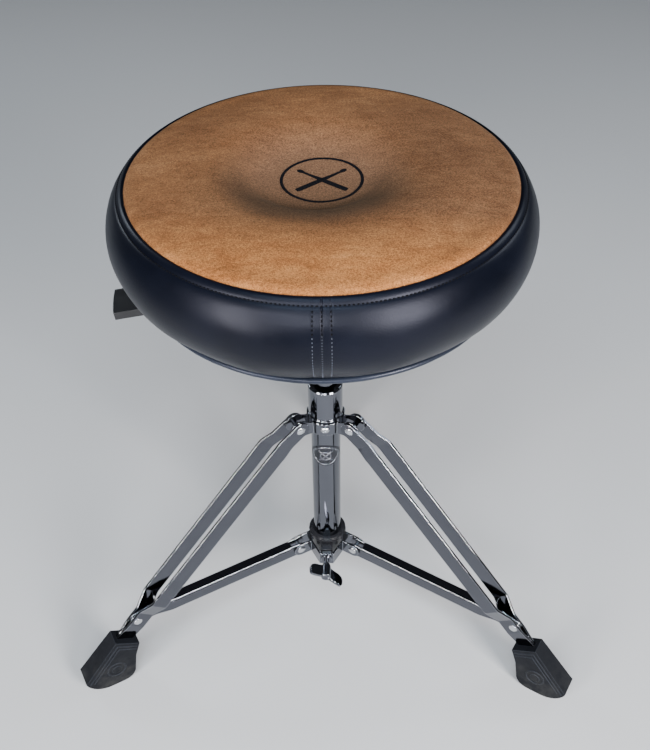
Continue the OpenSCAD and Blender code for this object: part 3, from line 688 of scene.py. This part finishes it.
def on_band(along, angle):
    """A point of the finished band, its direction down the band and its outward normal."""

    def place(s_at, a_at):
        column = np.searchsorted(angles, np.mod(a_at, 2 * np.pi)) % COLS
        before = (column - 1) % COLS
        gap = np.mod(angles[column] - angles[before], 2 * np.pi)
        t = np.mod(a_at - angles[before], 2 * np.pi) / gap
        r_at = [np.interp(s_at, rows, rad[:, c]) for c in (before, column)]
        z_at = [np.interp(s_at, rows, height[:, c]) for c in (before, column)]
        r_mid, z_mid = r_at[0] * (1 - t) + r_at[1] * t, z_at[0] * (1 - t) + z_at[1] * t
        return np.array([r_mid * math.cos(a_at), r_mid * math.sin(a_at), z_mid])

    here = place(along, angle)
    round_way = place(along, angle + 0.004) - place(along, angle - 0.004)
    down_way = place(min(along + 0.0015, band_length), angle) - place(max(along - 0.0015, 0), angle)
    round_way /= np.linalg.norm(round_way)
    down_way /= np.linalg.norm(down_way)
    return here, round_way, down_way, np.cross(down_way, round_way)


def add_stitch(verts, faces, middle, way, normal, length, thick):
    """A short thread that dives into the cloth at both ends."""
    side = np.cross(normal, way)
    start = len(verts)
    sides, steps = 6, 5
    for i in range(steps):
        t = i / (steps - 1) * 2 - 1
        rise = thick * (0.75 - 1.5 * t**4)
        size = thick * (1 - 0.45 * t**4)
        centre = middle + way * (t * length / 2) + normal * rise
        for j in range(sides):
            turn = 2 * math.pi * j / sides
            verts.append(centre + side * (size * math.cos(turn)) + normal * (size * 0.8 * math.sin(turn)))
    faces += grid_faces(steps, sides, True, start)
    faces.append(tuple(range(start + sides - 1, start - 1, -1)))
    faces.append(tuple(range(start + (steps - 1) * sides, start + steps * sides)))


STITCH_PITCH, LADDER_PITCH = 0.0034, 0.0026
# Radii that turn a distance round the band into an angle: at the ring of stitches and at the front seam
RING_R, FRONT_R = 0.1765, 0.186

verts, faces = [], []
ring_count = int(2 * math.pi * RING_R / STITCH_PITCH)
for i in range(ring_count):
    here, way, down, normal = on_band(STITCH_ROW, 2 * math.pi * i / ring_count)
    add_stitch(verts, faces, here, way, normal, STITCH_PITCH * 0.68, 0.00055)
mesh_piece("ring_stitches", verts, faces, THREAD, "seat", "vinyl")

# From a third of the way down the front seam, the stitches are painted greyer than the dark thread above, a
# painted highlight
PAINTED_LIGHT_FROM = 0.30 * band_length
upper, lower = ([], []), ([], [])
for offset in (-SEAM_ROW, 0.0, SEAM_ROW):
    for i in range(int((band_length - 0.026) / STITCH_PITCH)):
        along = 0.013 + i * STITCH_PITCH
        here, way, down, normal = on_band(along, seam_turn + offset / FRONT_R)
        if along < PAINTED_LIGHT_FROM:
            add_stitch(*upper, here, down, normal, STITCH_PITCH * 0.68, 0.0005)
        elif offset:
            add_stitch(*lower, here, down, normal, STITCH_PITCH * 0.5, 0.0004)
for i in range(int((band_length - 0.004 - PAINTED_LIGHT_FROM) / LADDER_PITCH)):
    here, way, down, normal = on_band(PAINTED_LIGHT_FROM + i * LADDER_PITCH, seam_turn)
    add_stitch(*lower, here + normal * 0.0006, way, normal, 0.0015, 0.0003)
mesh_piece("seam_topstitches", *upper, THREAD, "seat", "vinyl")
mesh_piece("seam_ladder", *lower, PAINTED_LIT_THREAD, "seat", "vinyl")


# ---- welt under the rim
pipe_low, pipe_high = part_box("seat_piping")
pipe_r = (pipe_high[2] - pipe_low[2]) / 2
pipe_mid = (pipe_high[0] - pipe_r, (pipe_high[2] + pipe_low[2]) / 2)
around, section = 360, 16
verts = []
for i in range(around):
    turn = 2 * math.pi * i / around
    size = pipe_r * (1 + 0.02 * math.cos(23 * turn) + 0.015 * math.cos(57 * turn + 1))
    for j in range(section):
        tilt = 2 * math.pi * j / section
        rr = pipe_mid[0] + size * math.cos(tilt)
        verts.append((rr * math.cos(turn), rr * math.sin(turn), pipe_mid[1] + size * math.sin(tilt)))
faces = []
for i in range(around):
    for j in range(section):
        k, m = (i + 1) % around, (j + 1) % section
        faces.append((i * section + j, k * section + j, k * section + m, i * section + m))
# Its sewn flange goes up behind the edge of the band
flange = [(0.1609, -0.0002), (0.1622, -0.0002), (0.1622, 0.0050), (0.1609, 0.0050)]
start = len(verts)
for i in range(around):
    turn = 2 * math.pi * i / around
    verts += [(rr * math.cos(turn), rr * math.sin(turn), pipe_mid[1] + zz) for rr, zz in flange]
for i in range(around):
    here, after = start + 4 * i, start + 4 * ((i + 1) % around)
    for j in range(4):
        m = (j + 1) % 4
        faces.append((here + j, after + j, after + m, here + m))
welt = mesh_piece("seat_welt", verts, faces, WELT, "seat", "piping")
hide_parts("seat_piping")


# ---------------------------------------------------------------- printed mark on the suede


def draped(outline_pairs, lift, thick, height_at):
    """A thin flat shape laid on a surface: outline_pairs are its (left, right) points in order."""
    verts, faces = [], []
    for left, right in outline_pairs:
        for x, y in (left, right):
            z = height_at(x, y)
            verts += [(x, y, z + lift), (x, y, z + lift - thick)]
    closed = np.allclose(outline_pairs[0], outline_pairs[-1])
    if closed:
        verts = verts[:-4]
    n = len(verts) // 4
    for i in range(n if closed else n - 1):
        p, q = 4 * i, 4 * ((i + 1) % n)
        faces += [(p, p + 2, q + 2, q), (p + 1, q + 1, q + 3, p + 3)]
        faces += [(p, q, q + 1, p + 1), (p + 2, p + 3, q + 3, q + 2)]
    if not closed:
        p = 4 * (n - 1)
        faces += [(0, 1, 3, 2), (p, p + 2, p + 3, p + 1)]
    return verts, faces


def joined(name, shapes, material, body, slot):
    verts, faces = [], []
    for more_verts, more_faces in shapes:
        start = len(verts)
        verts += more_verts
        faces += [tuple(start + i for i in f) for f in more_faces]
    return mesh_piece(name, verts, faces, material, body, slot, smooth=False)


def ring_pairs(outer_r, inner_r, steps=120):
    return [
        ((outer_r * math.cos(t), outer_r * math.sin(t)), (inner_r * math.cos(t), inner_r * math.sin(t)))
        for t in np.linspace(0, 2 * math.pi, steps + 1)
    ]


def stick_pairs(turn, length, butt, neck, bead):
    """A drumstick seen from the side, as pairs of points along it."""
    pairs = []
    c, s = math.cos(turn), math.sin(turn)
    for t in np.linspace(0, 1, 40):
        wide = butt + (neck - butt) * step(t, 0.35, 0.86)
        if t > 0.86:
            u = (t - 0.93) / 0.07
            wide = max(wide * (t < 0.9), bead * math.sqrt(max(0.0, 1 - u * u)))
        if t < 0.03:
            wide *= 0.7 + 10 * t
        wide = max(wide, 0.0002)
        x = (t - 0.5) * length
        pairs.append(((x * c - wide * s, x * s + wide * c), (x * c + wide * s, x * s - wide * c)))
    return pairs


PRINT_LIFT, PRINT_THICK = 0.00022, 0.0005
tilt = math.radians(1.7)
shapes = [draped(ring_pairs(0.0364, 0.0337), PRINT_LIFT, PRINT_THICK, on_top)]
for way in (38, 142):
    stick = stick_pairs(math.radians(way) + tilt, 0.055, 0.0027, 0.0014, 0.0024)
    shapes.append(draped(stick, PRINT_LIFT, PRINT_THICK, on_top))
joined("suede_print", shapes, INK, "seat", "suede")


# ---------------------------------------------------------------- badge on the tube

badge_low, badge_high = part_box("badge_plate")
badge_z = (badge_low[2] + badge_high[2]) / 2
badge_r = 0.01685


def on_tube(x, z):
    return x, -math.sqrt(badge_r**2 - x**2), z


def relief(pairs):
    verts, faces = draped(pairs, 0.0, 0.0, lambda x, y: 0.0)
    placed = []
    for i, (x, z, _) in enumerate(verts):
        x = max(min(x, 0.0145), -0.0145)
        px, py, pz = on_tube(x, z + badge_z)
        grow = 1.02 if i % 2 == 0 else 0.985
        placed.append((px * grow, py * grow, pz))
    return placed, faces


shapes = [relief(ring_pairs(0.0138, 0.0126, 96)), relief(ring_pairs(0.0060, 0.0051, 72))]
for way in (45, 135):
    shapes.append(relief(stick_pairs(math.radians(way), 0.021, 0.0009, 0.0005, 0.0009)))
joined("badge_relief", shapes, CHROME, "column", "chrome")


# ---------------------------------------------------------------- underside

STAPLES = 44
CLOTH_COLS = 8 * STAPLES
dust_low, dust_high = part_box("dust_cover")
cloth_r, cloth_t = dust_high[0], 0.0006
rings = np.concatenate([np.linspace(0.01, 0.11, 12), np.arange(0.114, cloth_r, 0.0025), [cloth_r]])
turns = np.linspace(0, 2 * np.pi, CLOTH_COLS, endpoint=False)
r, a = rings[:, None], turns[None, :]
# Stretched over the board, it puckers in towards each staple and is flat under the plate
pull = step(r, 0.122, 0.146) * (1 - step(r, cloth_r - 0.004, cloth_r))
uneven = waves(a, r, 21, 16, 3, 12) * step(r, 0.09, 0.13) * (1 - step(r, cloth_r - 0.012, cloth_r))
sag = 0.00028 * pull * (1 + np.cos(STAPLES * a)) + 0.0002 * uneven
under = dust_low[2] + 0.0002 - np.clip(sag, -0.0001, 0.0009)
verts = []
for lift in (0, cloth_t):
    verts.append((0, 0, under[0, 0] + lift))
    places = zip((r * np.cos(a)).ravel(), (r * np.sin(a)).ravel(), under.ravel())
    verts += [(x, y, z + lift) for x, y, z in places]
half = len(verts) // 2
faces = grid_faces(len(rings), CLOTH_COLS, True, 1) + grid_faces(len(rings), CLOTH_COLS, True, half + 1, True)
last = 1 + (len(rings) - 1) * CLOTH_COLS
for j in range(CLOTH_COLS):
    k = (j + 1) % CLOTH_COLS
    faces += [(0, 1 + k, 1 + j), (half, half + 1 + j, half + 1 + k)]
    faces.append((last + j, last + k, half + last + k, half + last + j))
dust_sheet = mesh_piece("dust_sheet", verts, faces, DUST_CLOTH, "seat", "dust_cloth")
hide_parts("dust_cover")
verts, faces = [], []
staple_r = dust_high[0] - 0.008
for i in range(STAPLES):
    turn = 2 * math.pi * (i + 0.15 * math.cos(7 * i)) / STAPLES
    way = np.array([-math.sin(turn), math.cos(turn), 0.0])
    if i % 3 == 1:
        way = way * math.cos(0.25) + np.array([math.cos(turn), math.sin(turn), 0]) * math.sin(0.25)
    here = np.array([staple_r * math.cos(turn), staple_r * math.sin(turn), dust_low[2]])
    add_stitch(verts, faces, here, way, np.array([0, 0, -1.0]), 0.011, 0.00045)
staples = mesh_piece("staples", verts, faces, STEEL, "seat", "plain_steel")


# ---------------------------------------------------------------- floor, light and camera

floor_mesh = bpy.data.meshes.new("floor")
floor_mesh.from_pydata([(-6, -6, 0), (6, -6, 0), (6, 6, 0), (-6, 6, 0)], [], [(0, 1, 2, 3)])
floor = bpy.data.objects.new("floor", floor_mesh)
bpy.context.scene.collection.objects.link(floor)
paper = Shader("floor_paper", (0.56, 0.565, 0.575), 0.9, Specular_IOR_Level=0.1)
paper.bump(paper.noise(400, 3), 0.0002, 0.2)
floor_mesh.materials.append(paper.mat)

world = bpy.data.worlds.new("studio")
bpy.context.scene.world = world
world.use_nodes = True
world.node_tree.nodes["Background"].inputs["Color"].default_value = (0.36, 0.39, 0.44, 1)
world.node_tree.nodes["Background"].inputs["Strength"].default_value = 0.2


def softbox(name, place, target, width, height, power, color):
    data = bpy.data.lights.new(name, "AREA")
    data.shape = "RECTANGLE"
    data.size = width
    data.size_y = height
    data.energy = power
    data.color = color
    made = bpy.data.objects.new(name, data)
    made.location = place
    made.rotation_euler = (Vector(target) - Vector(place)).to_track_quat("-Z", "Y").to_euler()
    bpy.context.scene.collection.objects.link(made)


softbox("side_left", (-1.03, -1.23, 0.78), (0, 0, 0.5), 0.5, 0.75, 26, (1.0, 0.97, 0.96))
softbox("side_right", (1.0, -1.25, 0.95), (0, 0, 0.5), 0.55, 0.75, 52, (1.0, 0.97, 0.96))
softbox("front", (-0.25, -1.9, 1.30), (0, 0, 0.55), 1.1, 0.5, 30, (0.97, 0.98, 1.0))
softbox("front_high", (-0.08, -1.02, 1.90), (0, 0, 0.55), 1.15, 0.27, 17, (0.68, 0.86, 1.0))
softbox("back_left", (-1.9, 1.3, 1.5), (0, 0, 0.5), 0.5, 1.0, 14, (0.85, 0.93, 1.0))
softbox("back_right", (1.9, 0.9, 1.6), (0, 0, 0.4), 0.7, 1.0, 14, (0.85, 0.93, 1.0))

CAMERA_PLACE = (0.0284, -0.7220, 1.0094)
heading, pitch, roll = math.radians(2.25), math.radians(42.45), math.radians(-0.91)
level = math.cos(pitch)
forward = Vector((-math.sin(heading) * level, math.cos(heading) * level, -math.sin(pitch)))
flat_right = Vector((math.cos(heading), math.sin(heading), 0))
upright = flat_right.cross(forward)
right = flat_right * math.cos(roll) + upright * math.sin(roll)
above = upright * math.cos(roll) - flat_right * math.sin(roll)
lens = bpy.data.cameras.new("camera")
lens.lens = 45.82
lens.sensor_width = 36
camera = bpy.data.objects.new("camera", lens)
camera.matrix_world = Matrix((
    (right.x, above.x, -forward.x, CAMERA_PLACE[0]),
    (right.y, above.y, -forward.y, CAMERA_PLACE[1]),
    (right.z, above.z, -forward.z, CAMERA_PLACE[2]),
    (0, 0, 0, 1),
))
bpy.context.scene.collection.objects.link(camera)
bpy.context.scene.camera = camera
